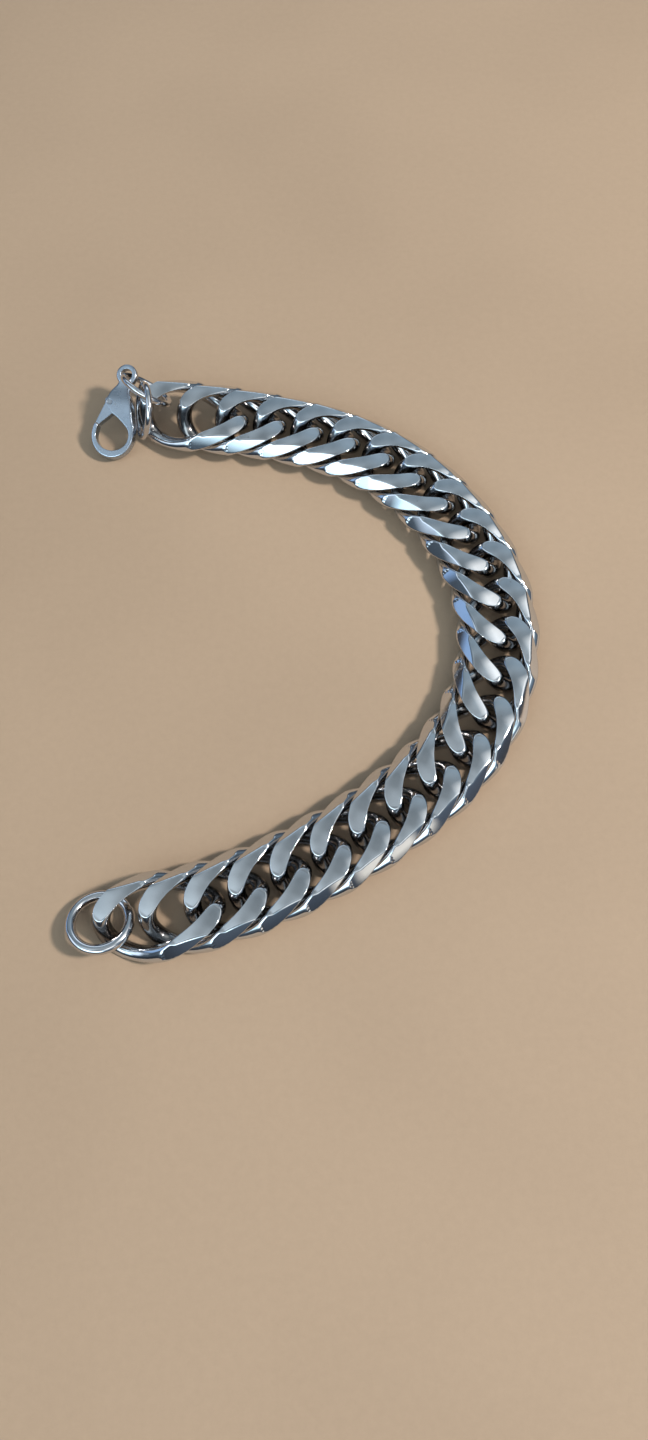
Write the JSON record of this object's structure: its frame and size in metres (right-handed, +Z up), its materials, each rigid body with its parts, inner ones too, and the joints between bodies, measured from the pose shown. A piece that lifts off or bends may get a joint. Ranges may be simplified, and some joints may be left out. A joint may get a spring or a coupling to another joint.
{
  "type": "curb link bracelet",
  "caption": "Wide double curb chain bracelet with ground and bevelled links, lying open in a C, with a lobster clasp and an end ring.",
  "frame": {"origin": "middle of the model's box, on the surface that it lies on", "axes": "+Z up; the C opens towards -X, with the clasp at the +Y end and the end ring at the -Y end"},
  "size_m": [0.0848, 0.1168, 0.0116],
  "materials": {
    "chain_steel": "polished stainless steel",
    "ring_steel": "polished stainless steel wire",
    "clasp_steel": "tumbled cast stainless steel, slightly softer than the chain"
  },
  "bodies": {
    "bracelet": {"link_01": "chain_steel", "link_02": "chain_steel", "link_03": "chain_steel", "link_04": "chain_steel", "link_05": "chain_steel", "link_06": "chain_steel", "link_07": "chain_steel", "link_08": "chain_steel", "link_09": "chain_steel", "link_10": "chain_steel", "link_11": "chain_steel", "link_12": "chain_steel", "link_13": "chain_steel", "link_14": "chain_steel", "link_15": "chain_steel", "link_16": "chain_steel", "link_17": "chain_steel", "link_18": "chain_steel", "link_19": "chain_steel", "link_20": "chain_steel", "link_21": "chain_steel", "link_22": "chain_steel", "link_23": "chain_steel", "end_ring": "ring_steel", "clasp_ring": "ring_steel", "spare_ring": "ring_steel", "clasp_body": "clasp_steel", "lever_pin": "clasp_steel"},
    "lever": {"clasp_lever": "clasp_steel"}
  },
  "joints": [
    {"name": "clasp_lever_hinge", "type": "hinge", "parent": "bracelet", "child": "lever", "pos_m": [-0.0368, 0.05151, 0.00513], "axis": [-0.0955, -0.3694, 0.9243], "range_deg": [0, 28], "stiffness_Nm_per_rad": 0.01, "springref_deg": -20.05}
  ]
}
